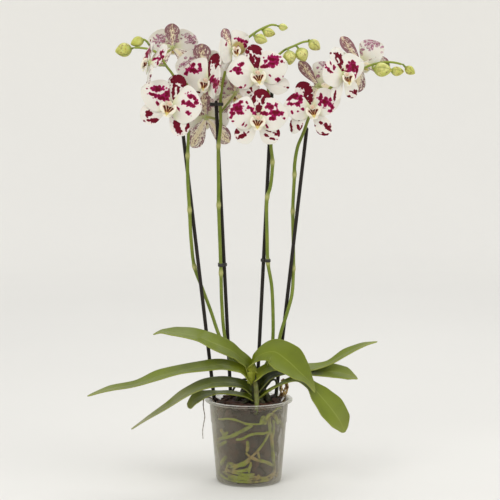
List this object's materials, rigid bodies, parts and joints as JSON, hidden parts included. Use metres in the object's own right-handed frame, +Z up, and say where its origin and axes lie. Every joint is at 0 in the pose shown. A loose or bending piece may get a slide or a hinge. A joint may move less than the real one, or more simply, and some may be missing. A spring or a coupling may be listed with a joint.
{
  "type": "potted orchid",
  "caption": "Moth orchid in a clear plastic pot of bark, with staked arching flower spikes of spotted blooms and buds over a fan of broad leaves.",
  "frame": {"origin": "centre of the pot's flat underside, on the surface that the pot stands on", "axes": "+Z up the pot's axis; -Y towards the viewer of the picture, whom most blooms face; +X to the viewer's right"},
  "size_m": [0.4404, 0.1424, 0.6202],
  "materials": {
    "pot": "clear plastic, clouded",
    "bark": "rough, matt",
    "roots": "matt",
    "dry": "matt",
    "leaf": "glossy",
    "stem": "satin",
    "petal": "satin, maroon spots",
    "lip": "satin, red-brown stripes",
    "stake": "satin",
    "clip": "satin"
  },
  "bodies": {
    "root": {"pot": "pot", "bark": "bark", "crown_and_roots": "roots", "hanging_root": "dry", "dry_sheath": "dry", "leaf_left_1": "leaf", "leaf_left_2": "leaf", "leaf_left_3": "leaf", "leaf_left_4": "leaf", "leaf_right_1": "leaf", "leaf_right_2": "leaf", "leaf_right_3": "leaf", "leaf_right_4": "leaf", "stake_a": "stake", "stake_b": "stake", "stake_c": "stake", "stake_d": "stake", "clip_low_b": "clip", "clip_low_c": "clip", "clip_top_b": "clip", "spike_a": "stem", "spike_b": "stem", "spike_c": "stem", "spike_d": "stem", "bloom_a1": "petal", "bloom_a2": "petal", "bloom_a3": "petal", "bloom_a4": "petal", "bloom_a5": "petal", "bloom_b1": "petal", "bloom_b2": "petal", "bloom_b3": "petal", "bloom_c1": "petal", "bloom_c2": "petal", "bloom_d1": "petal", "bloom_d2": "petal", "bloom_d3": "petal", "bloom_d4": "petal", "lip_a1": "lip", "lip_a2": "lip", "lip_a3": "lip", "lip_a4": "lip", "lip_a5": "lip", "lip_b1": "lip", "lip_b2": "lip", "lip_b3": "lip", "lip_c1": "lip", "lip_c2": "lip", "lip_d1": "lip", "lip_d2": "lip", "lip_d3": "lip", "lip_d4": "lip"}
  },
  "joints": []
}
